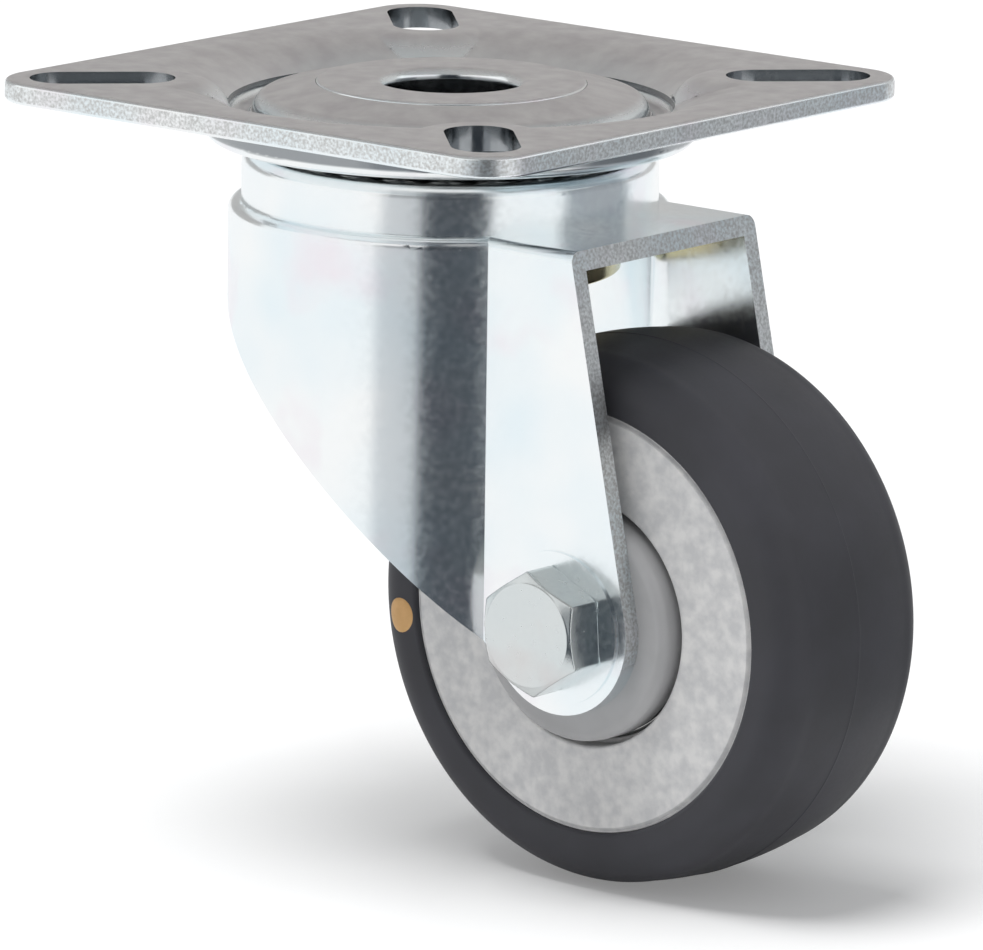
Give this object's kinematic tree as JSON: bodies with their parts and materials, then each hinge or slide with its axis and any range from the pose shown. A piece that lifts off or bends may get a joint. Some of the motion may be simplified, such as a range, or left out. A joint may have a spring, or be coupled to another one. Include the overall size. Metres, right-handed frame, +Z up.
{
  "type": "swivel castor",
  "caption": "Swivel castor with a square slotted top plate, double ball race head, drawn fork, and a rubber-tyred wheel on ball bearings.",
  "frame": {"origin": "middle of the plate's top face, on the swivel axis", "axes": "+Z up along the swivel axis, out of the plate's top face; the fork trails towards +X; +Y along the wheel's axle towards the lock nut"},
  "size_m": [0.0792, 0.0604, 0.0705],
  "materials": {
    "zinc_plate": "bright zinc plating on pressed sheet steel",
    "yellow_zinc": "pale yellow zinc plating",
    "ball_steel": "hardened and ground steel",
    "zinc_bolt": "bright zinc plating on forged and turned steel",
    "lock_ring": "moulded locking ring",
    "guard_plastic": "moulded, fine satin",
    "cage_plastic": "moulded",
    "tyre_rubber": "smooth dark grey thermoplastic rubber",
    "core_plastic": "mottled grey moulding with a matt surface"
  },
  "bodies": {
    "plate": {"top_plate": "zinc_plate", "kingpin": "zinc_plate", "lower_race": "yellow_zinc"},
    "fork": {"fork": "zinc_plate", "axle_bolt": "zinc_bolt", "lock_nut": "zinc_bolt", "nut_insert": "lock_ring", "axle_sleeve": "zinc_bolt", "left_thread_guard": "guard_plastic", "right_thread_guard": "guard_plastic", "left_inner_ring": "ball_steel", "right_inner_ring": "ball_steel", "bearing_spacer": "ball_steel"},
    "wheel": {"tyre": "tyre_rubber", "wheel_core": "core_plastic", "left_outer_ring": "ball_steel", "right_outer_ring": "ball_steel", "left_bearing_shields": "ball_steel", "right_bearing_shields": "ball_steel"},
    "upper_ball_ring": {"upper_balls": "ball_steel"},
    "lower_ball_ring": {"lower_balls": "ball_steel"},
    "left_ball_set": {"left_bearing_balls": "ball_steel", "left_bearing_cage": "cage_plastic"},
    "right_ball_set": {"right_bearing_balls": "ball_steel", "right_bearing_cage": "cage_plastic"}
  },
  "joints": [
    {"name": "swivel", "type": "hinge", "parent": "plate", "child": "fork", "pos_m": [0, 0, 0], "axis": [0, 0, 1], "continuous": true},
    {"name": "wheel_spin", "type": "hinge", "parent": "fork", "child": "wheel", "pos_m": [0.024, 0, -0.0455], "axis": [0, 1, 0], "continuous": true},
    {"name": "upper_ball_orbit", "type": "hinge", "parent": "plate", "child": "upper_ball_ring", "pos_m": [0, 0, 0], "axis": [0, 0, 1], "continuous": true},
    {"name": "lower_ball_orbit", "type": "hinge", "parent": "plate", "child": "lower_ball_ring", "pos_m": [0, 0, 0], "axis": [0, 0, 1], "continuous": true},
    {"name": "left_ball_orbit", "type": "hinge", "parent": "fork", "child": "left_ball_set", "pos_m": [0.024, 0, -0.0455], "axis": [0, 1, 0], "continuous": true},
    {"name": "right_ball_orbit", "type": "hinge", "parent": "fork", "child": "right_ball_set", "pos_m": [0.024, 0, -0.0455], "axis": [0, 1, 0], "continuous": true}
  ],
  "couplings": [
    {"joint": "upper_ball_orbit", "follows": "swivel", "ratio": 0.5},
    {"joint": "lower_ball_orbit", "follows": "swivel", "ratio": 0.5},
    {"joint": "left_ball_orbit", "follows": "wheel_spin", "ratio": 0.6333},
    {"joint": "right_ball_orbit", "follows": "wheel_spin", "ratio": 0.6333}
  ]
}
